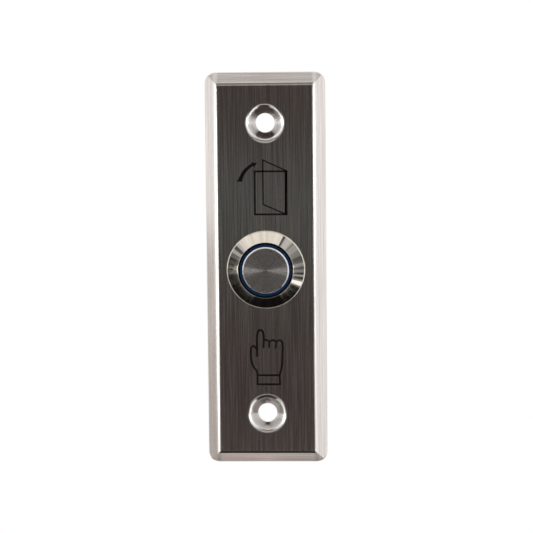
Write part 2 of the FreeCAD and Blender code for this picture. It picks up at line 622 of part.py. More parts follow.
def return_spring():
    """Coil spring between the clip and the lamp board."""
    body = new_piece("return_spring")
    drawing = new_sketch(body, "Wire", "XZ_Plane")
    # A regular octagon stands for the round wire.
    octagon(drawing, "wire_d", SPRING_R, f"{CLIP_END} + wire_d / 2")
    coil = body.newObject("PartDesign::AdditiveHelix", "Coil")
    coil.Profile = drawing
    coil.ReferenceAxis = (drawing, ["V_Axis"])
    coil.Mode = "height-turns-angle"
    coil.setExpression("Height", tied(f"{BOARD_TOP} - ({CLIP_END}) - wire_d"))
    coil.setExpression("Turns", tied("spring_turns"))
    coil.Angle = 0
    doc.recompute()


def contact_carrier():
    """Moulded shaft that joins the light guide to the wiper, with a square foot."""
    body = new_piece("contact_carrier")
    drawing = new_sketch(body, "Shaft", "XY_Plane", f"{STEM_END} - socket_l + fit_play")
    circle(drawing, "carrier_d / 2")
    padded(body, "ShaftLength", drawing, f"{FOOT_TOP} - ({STEM_END}) + socket_l - fit_play")
    foot = new_sketch(body, "Foot", "XY_Plane", FOOT_TOP)
    rectangle(foot, f"-1 * ({FOOT_REACH})", FOOT_REACH, "-1 * foot_span / 2", "foot_span / 2")
    padded(body, "FootLength", foot, "foot_l")


def wiper():
    """Springy strip folded round the foot: one broad arm on the common side, two narrow ones opposite."""
    body = new_piece("wiper")
    drawing = new_sketch(body, "Fold", "XZ_Plane")
    tip, tip_z = f"{WIPER_REACH} - tip_tuck", f"{FOOT_TOP} + tip_setback"
    right = [
        (FOOT_REACH, FOOT_END), (f"{WIPER_REACH} - wiper_t", KNEE), (f"{tip} - wiper_t", tip_z),
        (tip, tip_z), (WIPER_REACH, KNEE), (FOOT_REACH, f"{FOOT_END} + wiper_t")]
    left = [(f"-1 * ({x})", z) for x, z in reversed(right)]
    polygon(drawing, right + left)
    padded(body, "Strip", drawing, "foot_span", midplane=True)
    trim = new_sketch(body, "ArmTrim", "XY_Plane")
    beyond, far_left, left_corner = f"2 * ({WIPER_REACH})", f"-2 * ({WIPER_REACH})", f"-1 * ({FOOT_REACH})"
    rectangle(trim, FOOT_REACH, beyond, "-1 * arm_gap / 2", "arm_gap / 2")
    rectangle(trim, far_left, left_corner, "wide_blade / 2", "foot_span")
    rectangle(trim, far_left, left_corner, "-1 * foot_span", "-1 * wide_blade / 2")
    pierced(body, "Arms", trim)


def rear_housing():
    """Moulded cup that plugs into the barrel and holds the contacts."""
    body = new_piece("rear_housing")
    drawing = new_sketch(body, "Section", "XZ_Plane")
    plug = f"{SOCKET_R} - fit_play"
    polygon(drawing, [
        (DECK_HOLE_R, BOARD_END), (plug, BOARD_END), (plug, BARREL_END),
        (HOUSING_R, BARREL_END), (HOUSING_R, HOUSING_END), (CHAMBER_R, HOUSING_END),
        (CHAMBER_R, DECK_END), (DECK_HOLE_R, DECK_END)])
    cup = turned(body, "Moulding", drawing)
    outer = size(HOUSING_R) - 1e-3
    rear = edges(cup, lambda e: lies_at(e, size(HOUSING_END)) and e.BoundBox.XMax > outer)
    dressed(body, "RearEdge", "Chamfer", cup, rear, "barrel_edge")
    slots = new_sketch(body, "LampSlots", "XY_Plane")
    lamp_slots(slots)
    pierced(body, "LampSlotCut", slots)


def lamp_slots(drawing):
    """The two slots that the lamp terminals pass through."""
    low, high = "lamp_blade_y - fit_play", "lamp_blade_y + blade_t + fit_play"
    left, right = "-1 * (narrow_blade / 2 + fit_play)", "narrow_blade / 2 + fit_play"
    rectangle(drawing, left, right, low, high)
    rectangle(drawing, left, right, f"-1 * ({high})", f"-1 * ({low})")


def terminal_base():
    """Moulded disc that closes the housing and holds the five terminals."""
    body = new_piece("terminal_base")
    drawing = new_sketch(body, "Disc", "XY_Plane", BASE_TOP)
    circle(drawing, f"{CHAMBER_R} - fit_play")
    padded(body, "Thickness", drawing, "base_t")
    slots = new_sketch(body, "BladeSlots", "XY_Plane")
    lamp_slots(slots)
    inner, outer = f"{BLADE_X} - fit_play", f"{BLADE_X} + blade_t + fit_play"
    wide, narrow = "wide_blade / 2 + fit_play", "narrow_blade / 2 + fit_play"
    rectangle(slots, f"-1 * ({outer})", f"-1 * ({inner})", f"-1 * ({wide})", wide)
    near, far = f"changeover_y - ({narrow})", f"changeover_y + {narrow}"
    rectangle(slots, inner, outer, near, far)
    rectangle(slots, f"{inner} + jog", f"{outer} + jog", f"-1 * ({far})", f"-1 * ({near})")
    pierced(body, "BladeSlotCut", slots)


def lamp_board():
    """Round printed board that feeds the lamps."""
    body, _ = ring("lamp_board", BOARD_HOLE_R, f"{SOCKET_R} - board_play", BOARD_TOP, "board_t")
    slots = new_sketch(body, "LampSlots", "XY_Plane")
    lamp_slots(slots)
    pierced(body, "LampSlotCut", slots)


def board_part(label, turn):
    """A small block soldered on the lamp board, on the lamps' ring."""
    body = new_piece(label, turn=turn)
    drawing = new_sketch(body, "Outline", "XY_Plane", f"{BOARD_TOP} - lamp_t")
    near, far = f"{LAMP_RING_R} - lamp_w / 2", f"{LAMP_RING_R} + lamp_w / 2"
    rectangle(drawing, near, far, "-1 * lamp_l / 2", "lamp_l / 2")
    padded(body, "Height", drawing, "lamp_t")


def finished_tail(body, blade, role, middle, x_span):
    """Cuts the solder eye and bevels the two corners of a terminal's tail."""
    drawing = new_sketch(body, "EyeOutline", role)
    slot(drawing, "eye_w", "eye_l", middle, f"{TAIL_END} - eye_setback")
    eye = pierced(body, "Eye", drawing)
    low, high = (size(text) for text in x_span)

    def tail_corner(edge):
        box = edge.BoundBox
        across = (box.YMin, box.YMax) if role == "YZ_Plane" else (box.XMin, box.XMax)
        upright = lies_at(edge, size(TAIL_END)) and abs(across[0] - across[1]) < 1e-4
        return upright and min(abs(across[0] - low), abs(across[0] - high)) < 1e-3

    dressed(body, "TailBevel", "Chamfer", eye, edges(eye, tail_corner), "tail_edge")


def contact_terminal(label, corners, width, middle):
    """A changeover terminal: its side view swept across the blade's width."""
    body = new_piece(label)
    drawing = new_sketch(body, "SideView", "XZ_Plane")
    polygon(drawing, corners)
    # The XZ plane's normal is -Y, so a blade set off to +Y is drawn on a plane lifted the other way.
    drawing.setExpression("AttachmentOffset.Base.z", tied(f"-1 * ({middle})"))
    blade = padded(body, "BladeWidth", drawing, width, midplane=True)
    span = (f"{middle} - {width} / 2", f"{middle} + {width} / 2")
    finished_tail(body, blade, "YZ_Plane", middle, span)


def contact_terminals():
    """Common, normally closed and normally open terminals, each standing beside its wiper arm."""
    top, inner, outer = f"{FOOT_TOP} + tip_setback", BLADE_X, f"{BLADE_X} + blade_t"
    contact_terminal("terminal_common", [
        (f"-1 * ({inner})", top), (f"-1 * ({outer})", top),
        (f"-1 * ({outer})", TAIL_END), (f"-1 * ({inner})", TAIL_END)], "wide_blade", "0")
    bend, bent = f"{KNEE} + contact_land", f"{KNEE} + contact_land + jog / 2"
    closed = [
        (inner, top), (outer, top), (outer, bend), (f"{outer} + jog", bent), (f"{outer} + jog", TAIL_END),
        (f"{inner} + jog", TAIL_END), (f"{inner} + jog", bent), (inner, bend)]
    contact_terminal("terminal_normally_closed", closed, "narrow_blade", "-1 * changeover_y")
    open_top = f"{KNEE} + travel - contact_land"
    standing = [(inner, open_top), (outer, open_top), (outer, TAIL_END), (inner, TAIL_END)]
    contact_terminal("terminal_normally_open", standing, "narrow_blade", "changeover_y")


def lamp_terminal(label, side):
    """A straight blade from the lamp board to behind the housing."""
    body = new_piece(label)
    drawing = new_sketch(body, "FrontView", "XZ_Plane", f"{side}(lamp_blade_y + blade_t / 2)")
    rectangle(drawing, "-1 * narrow_blade / 2", "narrow_blade / 2", BOARD_TOP, TAIL_END)
    blade = padded(body, "BladeThickness", drawing, "blade_t", midplane=True)
    finished_tail(body, blade, "XZ_Plane", "0", ("-1 * narrow_blade / 2", "narrow_blade / 2"))


def check_and_write():
    """Stops on any failed feature or bad solid, then writes each sub-part to its own file."""
    bad = {"Invalid", "Error"}
    failed = [f"{item.Name} is {item.State}" for item in doc.Objects if bad & set(item.State)]
    for body in pieces:
        if body.Shape.isNull() or not body.Shape.isValid() or len(body.Shape.Solids) != 1:
            failed.append(f"{body.Label} is no single valid solid")
    if failed:
        raise RuntimeError("; ".join(failed))
    os.makedirs("parts", exist_ok=True)
    for body in pieces:
        body.Shape.exportStep(f"parts/{body.Label}.step")
        box = body.Shape.BoundBox
        print(f"{body.Label}: {body.Shape.Volume:.2f} mm3, y {box.YMin:.2f} to {box.YMax:.2f}")


def main():
    fill_sheet()
    faceplate()
    gasket_r = f"{FLANGE_R} - gasket_inset"
    ring("flange_gasket", "thread_d / 2 + running_play", gasket_r, FLANGE_BACK, "gasket_t")
    switch_shell()
    lock_washer()
    panel_nut()
    button_cap()
    light_guide()
    plunger_seal()
    retaining_clip()
    return_spring()
    contact_carrier()
    wiper()
    lamp_board()
    lamp_count = int(size("lamp_count"))
    for number in range(lamp_count):
        board_part(f"lamp_{number + 1}", (number + 0.5) * 360 / lamp_count)
    board_part("lamp_resistor", 0)
    rear_housing()
    terminal_base()
    contact_terminals()
    lamp_terminal("terminal_lamp_plus", "")
    lamp_terminal("terminal_lamp_minus", "-1 * ")
    doc.recompute()
    check_and_write()


main()
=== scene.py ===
from math import cos, pi, radians, sin

import bmesh
import bpy
from mathutils import Matrix, Vector


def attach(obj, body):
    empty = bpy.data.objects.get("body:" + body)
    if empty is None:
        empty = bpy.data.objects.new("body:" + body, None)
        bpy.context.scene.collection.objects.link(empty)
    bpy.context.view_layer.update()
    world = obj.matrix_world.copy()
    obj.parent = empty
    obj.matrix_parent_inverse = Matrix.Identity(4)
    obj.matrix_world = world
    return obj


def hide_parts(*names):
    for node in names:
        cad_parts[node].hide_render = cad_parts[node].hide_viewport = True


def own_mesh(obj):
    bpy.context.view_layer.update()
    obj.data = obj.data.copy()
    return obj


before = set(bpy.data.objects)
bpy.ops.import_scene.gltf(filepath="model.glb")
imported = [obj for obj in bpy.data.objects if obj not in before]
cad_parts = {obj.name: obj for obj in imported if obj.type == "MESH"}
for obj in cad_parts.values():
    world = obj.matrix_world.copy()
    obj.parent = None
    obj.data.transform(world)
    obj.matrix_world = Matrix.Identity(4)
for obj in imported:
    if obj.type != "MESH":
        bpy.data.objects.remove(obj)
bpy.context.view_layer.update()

MM = 0.001

# Faceplate: its face, its screw dimples and where its bends lie, from the plate's middle.
FACE_Y = -3.2 * MM
SCREW_Z = 34.0 * MM
CONE_R = 3.65 * MM
DIMPLE_R = 4.73 * MM
SIDE_BEND_START = (10.85 * MM, 11.25 * MM)
SIDE_BEND_END = (11.7 * MM, 12.2 * MM)
END_BEND_Z = 42.0 * MM

# Camera: where it looks, from where, and how it is turned, as the photograph was taken.
AIM = Vector((0.098 * MM, FACE_Y, 0.688 * MM))
CAMERA_AZIMUTH = radians(2.588)
CAMERA_ELEVATION = radians(5.447)
CAMERA_ROLL = radians(-0.538)
CAMERA_DISTANCE = 450 * MM
CAMERA_LENS = 130.64
CAMERA_SENSOR = 36.0
CAMERA_NEAR = 0.01
CAMERA_FAR = 20.0
TO_CAMERA = Vector((sin(CAMERA_AZIMUTH) * cos(CAMERA_ELEVATION),
                    -cos(CAMERA_AZIMUTH) * cos(CAMERA_ELEVATION), sin(CAMERA_ELEVATION)))

# Faceplate's finish: the brushed face's roughness, and what other places add to it.
FACE_ROUGH = 0.162
MARKS_ROUGH = 0.014
DIMPLE_ROUGH = -0.025
SIDE_CONE_ROUGH = 0.33
SIDE_LIP_ROUGH = 0.11
SIDE_BEND_ROUGH = 0.12
BACK_ROUGH = 0.2

# Faceplate's brush marks: share of fine streaks, strength off the face, where they fade, and depth.
FINE_STREAKS = 0.86
MARKS_OFF_FACE = 0.3
MARKS_AT_ENDS = 0.45
MARKS_FADE_Z = (26 * MM, 40 * MM)
BRUSH_DEPTH = 0.0012 * MM

# Faceplate's painted highlight, a brighter metal colour: how much the side bends have, how far below its
# middle each dimple's rougher, brightened side lies, and how near to that direction it starts and is full.
SIDE_BEND_HIGHLIGHT = 0.4
UPPER_HIGHLIGHT_TURN = radians(12)
LOWER_HIGHLIGHT_TURN = radians(40)
HIGHLIGHT_EDGE = (0.72, 0.92)

# Switch shell, stations along the axis and radii.
CROWN_Y = -5.9 * MM
CONE_FOOT_Y = -4.3 * MM
FLANGE_BACK_Y = -3.7 * MM
WEB_Y = -0.9 * MM
WEB_END_Y = 3.5 * MM
BARREL_END_Y = 14.1 * MM
NECK_END_Y = -1.7 * MM
BORE_R = 6.4 * MM
CROWN_R = 6.47 * MM
FLANGE_R = 9.1 * MM
FLANGE_EDGE = 0.25 * MM
THREAD_R = 8.0 * MM
THREAD_ROOT_R = 7.42 * MM
SOCKET_R = 6.6 * MM
GUIDE_R = 4.25 * MM
BARREL_CHAMFER = 0.2 * MM
NECK_RUN_OUT = 0.4 * MM
EDGE_BREAK = 0.05 * MM
SHELL_STEPS = 192

# Thread: where its ridge starts and is cut off, and the ridge's corners, each a radius and a share of the
# pitch.
THREAD_START_Y = NECK_END_Y + 0.9 * MM
THREAD_CUT_Y = BARREL_END_Y - 0.4 * MM
THREAD_PITCH = 1.0 * MM
THREAD_TURNS = 15
THREAD_STEPS = 72
THREAD_WELD = 0.0002 * MM
THREAD_SUNK_R = THREAD_ROOT_R - 0.12 * MM
THREAD_RIDGE = ((THREAD_SUNK_R, 0.02), (THREAD_ROOT_R, 0.02), (THREAD_R, 0.42), (THREAD_R, 0.56),
                (THREAD_ROOT_R, 0.96), (THREAD_SUNK_R, 0.96))

# Button cap: radius of its flat front.
CAP_FLAT_R = 5.11 * MM

# Return spring.
WIRE_R = 0.3 * MM
WIRE_SIDES = 12
COIL_R = 4.7 * MM
COIL_TOP_Y = 4.25 * MM
COIL_END_Y = 10.1 * MM
COIL_TURNS = 3.5
COIL_STEPS = 168

# Points this near each other are one and the same.
WELD_REACH = 0.0005 * MM
SAME_PLACE = 0.001 * MM


def deselect_all():
    """Leave edit mode and select nothing."""
    if bpy.context.object and bpy.context.object.mode != "OBJECT":
        bpy.ops.object.mode_set(mode="OBJECT")
    bpy.ops.object.select_all(action="DESELECT")


def take(piece):
    """Select one piece alone and make it the active one."""
    deselect_all()
    piece.select_set(True)
    bpy.context.view_layer.objects.active = piece


def edit_all(piece):
    """Take one piece into edit mode with all of it selected."""
    take(piece)
    bpy.ops.object.mode_set(mode="EDIT")
    bpy.ops.mesh.select_all(action="SELECT")


def select_points(piece, wanted):
    """In edit mode, select the points of the piece whose place passes the test."""
    bpy.ops.mesh.select_all(action="DESELECT")
    bpy.ops.mesh.select_mode(type="VERT")
    mesh = bmesh.from_edit_mesh(piece.data)
    for point in mesh.verts:
        point.select = wanted(point.co)
    mesh.select_flush(True)
    bmesh.update_edit_mesh(piece.data)


def face_outwards():
    """In edit mode, point every face outwards, then leave edit mode."""
    bpy.ops.mesh.select_all(action="SELECT")
    bpy.ops.mesh.normals_make_consistent(inside=False)
    bpy.ops.object.mode_set(mode="OBJECT")


def close_ends():
    """In edit mode, fill the open ends and point every face outwards, then leave edit mode."""
    bpy.ops.mesh.select_all(action="SELECT")
    bpy.ops.mesh.fill_holes(sides=0)
    face_outwards()


def draw_line(name, corners, closed=True, filled=False):
    """Start a piece in edit mode: one point, drawn out from corner to corner."""
    deselect_all()
    bpy.ops.mesh.primitive_plane_add(size=MM)
    piece = bpy.context.object
    piece.name = name
    bpy.ops.object.mode_set(mode="EDIT")
    bpy.ops.mesh.select_all(action="SELECT")
    bpy.ops.mesh.merge(type="CENTER")
    bpy.ops.transform.translate(value=corners[0])
    for start, end in zip(corners, corners[1:]):
        step = Vector(end) - Vector(start)
        bpy.ops.mesh.extrude_vertices_move(TRANSFORM_OT_translate={"value": step})
    if filled:
        bpy.ops.mesh.select_all(action="SELECT")
        bpy.ops.mesh.edge_face_add()
    elif closed:
        ends = (Vector(corners[0]), Vector(corners[-1]))
        select_points(piece, lambda co: min((co - end).length for end in ends) < SAME_PLACE)
        bpy.ops.mesh.edge_face_add()
    return piece


def turn_round(steps, angle=2 * pi, axis=(0, 1, 0)):
    """In edit mode, spin the drawn line about the axis and weld where it meets itself."""
    bpy.ops.mesh.select_all(action="SELECT")
    bpy.ops.mesh.spin(steps=steps, angle=angle, center=(0, 0, 0), axis=axis)
    bpy.ops.mesh.select_all(action="SELECT")
    bpy.ops.mesh.remove_doubles(threshold=WELD_REACH)
    face_outwards()


def apply_modifier(piece, kind, **settings):
    """Give a piece one modifier with these settings and apply it."""
    bpy.ops.object.mode_set(mode="OBJECT")
    modifier = piece.modifiers.new(kind.title(), kind)
    for setting, value in settings.items():
        setattr(modifier, setting, value)
    take(piece)
    bpy.ops.object.modifier_apply(modifier=modifier.name)


def dress(piece, finish, body, smooth_angle=radians(35)):
    """Give a finished piece its finish, its smooth shading and the body that it rides on."""
    take(piece)
    piece.data.materials.clear()
    piece.data.materials.append(finish)
    bpy.ops.object.shade_smooth_by_angle(angle=smooth_angle)
    apply_modifier(piece, "WEIGHTED_NORMAL", keep_sharp=True, weight=100)
    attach(piece, body)


# Finishes.

def node(tree, kind, inputs=None, **settings):
    """Add a node. An input is either a value or another node's output."""
    made = tree.nodes.new(kind)
    for setting, value in settings.items():
        setattr(made, setting, value)
    for socket, value in (inputs or {}).items():
        if isinstance(value, bpy.types.NodeSocket):
            tree.links.new(value, made.inputs[socket])
        else:
            made.inputs[socket].default_value = value
    return made


def start_finish(name, colour, metallic, roughness, plain=None):
    """A new finish: its node tree, and its shader with the values that are the same all over."""
    finish = bpy.data.materials.new(name)
    finish.use_nodes = True
    shader = finish.node_tree.nodes["Principled BSDF"]
    values = {"Base Color": (*colour, 1), "Metallic": metallic, "Roughness": roughness, **(plain or {})}
    for socket, value in values.items():
        shader.inputs[socket].default_value = value
    return finish, finish.node_tree, shader


def piece_place(tree):
    """A point's place on the piece, in metres."""
    return node(tree, "ShaderNodeTexCoord").outputs["Object"]


def maths(tree, operation, *values):
    """A sum on numbers."""
    return node(tree, "ShaderNodeMath", dict(enumerate(values)), operation=operation).outputs[0]


def vector_maths(tree, operation, *vectors):
    """A sum on vectors: a number for a length or a dot product, otherwise a vector."""
    made = node(tree, "ShaderNodeVectorMath", dict(enumerate(vectors)), operation=operation)
    return made.outputs["Value" if operation in ("LENGTH", "DOT_PRODUCT") else "Vector"]


def product(tree, one, other):
    """Two parts multiplied."""
    return maths(tree, "MULTIPLY", one, other)


def total(tree, *parts):
    """All the parts added up."""
    added = parts[0]
    for part in parts[1:]:
        added = maths(tree, "ADD", added, part)
    return added


def greatest(tree, *parts):
    """The largest of the parts."""
    largest = parts[0]
    for part in parts[1:]:
        largest = maths(tree, "MAXIMUM", largest, part)
    return largest


def noise(tree, cells, detail=3.0, roughness=0.55, shift=0.0):
    """Noise fixed to the piece, with so many cells to the metre along each axis."""
    mapping = node(tree, "ShaderNodeMapping", {
        "Vector": piece_place(tree), "Scale": cells, "Location": (shift, shift, shift)})
    return node(tree, "ShaderNodeTexNoise", {
        "Vector": mapping.outputs[0], "Scale": 1.0, "Detail": detail,
        "Roughness": roughness}).outputs["Fac"]


def spread(tree, value, low, high, start=0.3, end=0.7):
    """Turn a value between start and end into a range from low to high, and hold it beyond."""
    return node(tree, "ShaderNodeMapRange", {
        "Value": value, "From Min": start, "From Max": end, "To Min": low, "To Max": high}).outputs[0]


def shades(tree, value, *stops):
    """Colours along a value, each stop a place and a colour."""
    ramp = node(tree, "ShaderNodeValToRGB", {"Fac": value})
    while len(ramp.color_ramp.elements) < len(stops):
        ramp.color_ramp.elements.new(0.5)
    for element, (place, colour) in zip(ramp.color_ramp.elements, stops):
        element.position = place
        element.color = (*colour, 1)
    return ramp.outputs["Color"]


def raise_surface(tree, shader, height, depth):
    """Bump from a height between 0 and 1, so many metres deep."""
    bump = node(tree, "ShaderNodeBump", {"Height": height, "Strength": 1.0, "Distance": depth})
    tree.links.new(bump.outputs["Normal"], shader.inputs["Normal"])


def brush(tree, shader, axis, across):
    """Point the metal's grain: along the axis's circles, or across them."""
    tangent = node(tree, "ShaderNodeTangent", direction_type="RADIAL", axis=axis)
    tree.links.new(tangent.outputs[0], shader.inputs["Tangent"])
    shader.inputs["Anisotropic Rotation"].default_value = 0.25 if across else 0.0


def distance_from_axis(tree):
    """Radius of a point about the button's axis, and its direction."""
    flat = vector_maths(tree, "MULTIPLY", piece_place(tree), (1, 0, 1))
    return vector_maths(tree, "LENGTH", flat), vector_maths(tree, "NORMALIZE", flat)


def ring_noise(tree, lines, detail=3.0, roughness=0.6):
    """Noise in circles round the button's axis, with so many lines to the metre."""
    length, _ = distance_from_axis(tree)
    return node(tree, "ShaderNodeTexNoise", {
        "W": product(tree, length, lines), "Scale": 1.0, "Detail": detail,
        "Roughness": roughness}, noise_dimensions="1D").outputs["Fac"]


def ray_noise(tree, rays, detail=4.0):
    """Noise in rays that leave the button's axis."""
    _, direction = distance_from_axis(tree)
    return node(tree, "ShaderNodeTexNoise", {
        "Vector": direction, "Scale": rays, "Detail": detail, "Roughness": 0.6}).outputs["Fac"]


def blend_colours(tree, share, one, other):
    """One colour where the share is 0 and the other where it is 1."""
    mix = node(tree, "ShaderNodeMix", data_type="RGBA")
    for place, value in ((0, share), (6, one), (7, other)):
        if isinstance(value, bpy.types.NodeSocket):
            tree.links.new(value, mix.inputs[place])
        else:
            mix.inputs[place].default_value = (*value, 1)
    return mix.outputs[2]


def brush_marks(tree, place, facing):
    """Brush marks about 0.5: upright, crosswise on the end bevels, and weaker on all but the face."""
    streaks = noise(tree, (4200, 900, 55), detail=1.0, roughness=0.5)
    lines = noise(tree, (1500, 300, 16), detail=2.0, roughness=0.6, shift=1.7)
    upright = total(tree, product(tree, streaks, FINE_STREAKS), product(tree, lines, 1 - FINE_STREAKS))
    crosswise = noise(tree, (55, 900, 4200), detail=1.0, roughness=0.5)
    sloping = spread(tree, maths(tree, "ABSOLUTE", facing.outputs["Z"]), 0.0, 1.0, 0.1, 0.3)
    height = maths(tree, "ABSOLUTE", place.outputs["Z"])
    beyond = spread(tree, height, 0.0, 1.0, END_BEND_Z - 0.2 * MM, END_BEND_Z)
    end_bevel = product(tree, sloping, beyond)
    turned = product(tree, maths(tree, "SUBTRACT", crosswise, upright), end_bevel)
    forwards = product(tree, facing.outputs["Y"], -1.0)
    strength = spread(tree, forwards, MARKS_OFF_FACE, 1.0, 0.96, 0.99)
    return total(tree, product(tree, total(tree, upright, turned, -0.5), strength), 0.5)


def around_screws(tree, place):
    """Distance from the nearer screw hole's middle, and how near a point is to the dimple's rougher sides
    with a painted highlight, up to 1.
    """
    upper = maths(tree, "GREATER_THAN", place.outputs["Z"], 0.0)
    to_middle = spread(tree, upper, SCREW_Z, -SCREW_Z, 0.0, 1.0)
    below = product(tree, total(tree, place.outputs["Z"], to_middle), -1.0)
    spot = node(tree, "ShaderNodeCombineXYZ", {
        "X": maths(tree, "ABSOLUTE", place.outputs["X"]), "Y": below}).outputs[0]
    # The side of each dimple that is made rougher and gets a painted highlight of brighter metal lies this
    # way from its middle.
    highlit_way = blend_colours(tree, upper, (cos(LOWER_HIGHLIGHT_TURN), sin(LOWER_HIGHLIGHT_TURN), 0),
                               (cos(UPPER_HIGHLIGHT_TURN), sin(UPPER_HIGHLIGHT_TURN), 0))
    outward = vector_maths(tree, "NORMALIZE", spot)
    return vector_maths(tree, "LENGTH", spot), vector_maths(tree, "DOT_PRODUCT", outward, highlit_way)


def plate_colour(tree, wear, lip, painted_highlight):
    """Slow warm and cool bands, darker brush marks, and a painted highlight: brighter metal on the dimples
    and the side bends.
    """
    bands = noise(tree, (240, 60, 14), detail=2.0, shift=3.1)
    tint = shades(tree, bands, (0.3, (0.90, 0.82, 0.785)), (0.5, (0.88, 0.825, 0.79)),
                  (0.7, (0.86, 0.83, 0.805)))
    worn = blend_colours(tree, spread(tree, wear, 0.0, 1.0, 0.40, 0.60), tint, (0.63, 0.58, 0.555))
    # Painted highlight colour: brighter metal, fuller on the dimples' lips than on their cones.
    highlight_colour = shades(tree, lip, (0.0, (0.80, 0.775, 0.755)), (1.0, (0.97, 0.955, 0.94)))
    return blend_colours(tree, painted_highlight, worn, highlight_colour)


def brushed_plate():
    """Stainless sheet, brushed from top to bottom, rougher on the dimples' sides and the side bends, with a
    painted highlight of brighter metal on the dimples and the side bends.
    """
    finish, tree, shader = start_finish("brushed plate", (0.76, 0.72, 0.69), 1.0, 0.17, {"Anisotropic": 0.6})
    brush(tree, shader, "Z", across=False)
    place = node(tree, "ShaderNodeSeparateXYZ", {0: piece_place(tree)})
    normal = node(tree, "ShaderNodeNewGeometry").outputs["Normal"]
    facing = node(tree, "ShaderNodeSeparateXYZ", {0: normal})
    wear = brush_marks(tree, place, facing)
    from_screw, to_highlit_side = around_screws(tree, place)
    dimple = spread(tree, from_screw, 1.0, 0.0, DIMPLE_R - 0.2 * MM, DIMPLE_R)
    # Dimples' sides: rougher, and given a painted highlight of brighter metal colour.
    highlit_sides = product(tree, dimple, spread(tree, to_highlit_side, 0.0, 1.0, *HIGHLIGHT_EDGE))
    side_rough = spread(tree, from_screw, SIDE_CONE_ROUGH, SIDE_LIP_ROUGH, CONE_R - 0.2 * MM,
                          CONE_R + 0.2 * MM)
    lip = spread(tree, from_screw, 0.0, 1.0, CONE_R, CONE_R + 0.3 * MM)
    across = maths(tree, "ABSOLUTE", place.outputs["X"])
    side_bend = product(tree, spread(tree, across, 0.0, 1.0, *SIDE_BEND_START),
                        spread(tree, across, 1.0, 0.0, *SIDE_BEND_END))
    # Painted highlight: where the metal's colour is raised, on the dimples' sides and lips and on the side
    # bends.
    painted_highlight = greatest(tree, highlit_sides, product(tree, dimple, lip), product(tree, side_bend, SIDE_BEND_HIGHLIGHT))
    tree.links.new(plate_colour(tree, wear, lip, painted_highlight), shader.inputs["Base Color"])
    height = maths(tree, "ABSOLUTE", place.outputs["Z"])
    middle = spread(tree, height, 1.0, MARKS_AT_ENDS, *MARKS_FADE_Z)
    marks = product(tree, spread(tree, wear, MARKS_ROUGH, -MARKS_ROUGH, 0.36, 0.64), middle)
    back = product(tree, maths(tree, "GREATER_THAN", facing.outputs["Y"], 0.3), BACK_ROUGH)
    rough = total(tree, marks, FACE_ROUGH, product(tree, dimple, DIMPLE_ROUGH), back,
                  product(tree, side_rough, highlit_sides), product(tree, side_bend, SIDE_BEND_ROUGH))
    tree.links.new(rough, shader.inputs["Roughness"])
    raise_surface(tree, shader, wear, BRUSH_DEPTH)
    return finish


def turned_bezel():
    """Bright-turned flange with faint tool marks."""
    finish, tree, shader = start_finish("turned bezel", (0.74, 0.68, 0.59), 1.0, 0.07, {"Anisotropic": 0.5})
    brush(tree, shader, "Y", across=True)
    rays = ray_noise(tree, 7.0)
    tree.links.new(shades(tree, rays, (0.35, (0.62, 0.567, 0.49)), (0.55, (0.77, 0.705, 0.605))),
                   shader.inputs["Base Color"])
    tree.links.new(spread(tree, rays, 0.05, 0.08), shader.inputs["Roughness"])
    raise_surface(tree, shader, ring_noise(tree, 9000), 0.0002 * MM)
    return finish


def cut_thread():
    """Nickel-plated thread and barrel."""
    finish, tree, shader = start_finish("cut thread", (0.60, 0.57, 0.53), 1.0, 0.3)
    wear = noise(tree, (700, 700, 700), detail=4.0)
    tree.links.new(shades(tree, wear, (0.35, (0.46, 0.43, 0.39)), (0.65, (0.64, 0.61, 0.57))),
                   shader.inputs["Base Color"])
    tree.links.new(spread(tree, wear, 0.22, 0.4), shader.inputs["Roughness"])
    raise_surface(tree, shader, noise(tree, (900, 9000, 900)), 0.002 * MM)
    return finish


def spun_cap():
    """Button cap, brushed in circles, with a bright bevel on its edge."""
    finish, tree, shader = start_finish("spun cap", (0.58, 0.56, 0.55), 1.0, 0.28, {"Anisotropic": 0.97})
    brush(tree, shader, "Y", across=True)
    rings = ring_noise(tree, 9000, detail=4.0, roughness=0.75)
    length, _ = distance_from_axis(tree)
    edge = spread(tree, length, 0.0, 1.0, CAP_FLAT_R + 0.02 * MM, CAP_FLAT_R + 0.1 * MM)
    grain = shades(tree, rings, (0.3, (0.445, 0.427, 0.418)), (0.7, (0.575, 0.557, 0.543)))
    tree.links.new(blend_colours(tree, edge, grain, (0.76, 0.755, 0.75)), shader.inputs["Base Color"])
    rays = spread(tree, ray_noise(tree, 16.0, detail=3.0), -0.03, 0.03)
    rough = total(tree, spread(tree, rings, 0.20, 0.285), rays, product(tree, edge, -0.14))
    tree.links.new(rough, shader.inputs["Roughness"])
    raise_surface(tree, shader, rings, 0.0012 * MM)
    return finish


def blue_guide():
    """Clear blue moulding that carries the light."""
    finish, tree, shader = start_finish("blue guide", (0.002, 0.02, 0.06), 0.0, 0.22, {
        "IOR": 1.49, "Coat Weight": 0.1, "Subsurface Weight": 0.15,
        "Subsurface Radius": (0.0004, 0.0008, 0.0015)})
    cloud = noise(tree, (900, 900, 900), detail=2.0)
    tree.links.new(shades(tree, cloud, (0.35, (0.0005, 0.013, 0.045)), (0.65, (0.001, 0.022, 0.075))),
                   shader.inputs["Base Color"])
    raise_surface(tree, shader, noise(tree, (5000, 5000, 5000)), 0.002 * MM)
    return finish


def plain_metal(name, dark, bright, cells=(900, 900, 900), rough=(0.25, 0.42)):
    """A plated or sprung metal with cloudy wear and a fine skin."""
    finish, tree, shader = start_finish(name, bright, 1.0, rough[0])
    wear = noise(tree, cells, detail=4.0)
    tree.links.new(shades(tree, wear, (0.35, dark), (0.65, bright)), shader.inputs["Base Color"])
    tree.links.new(spread(tree, wear, *rough), shader.inputs["Roughness"])
    raise_surface(tree, shader, noise(tree, (6000, 6000, 6000)), 0.002 * MM)
    return finish


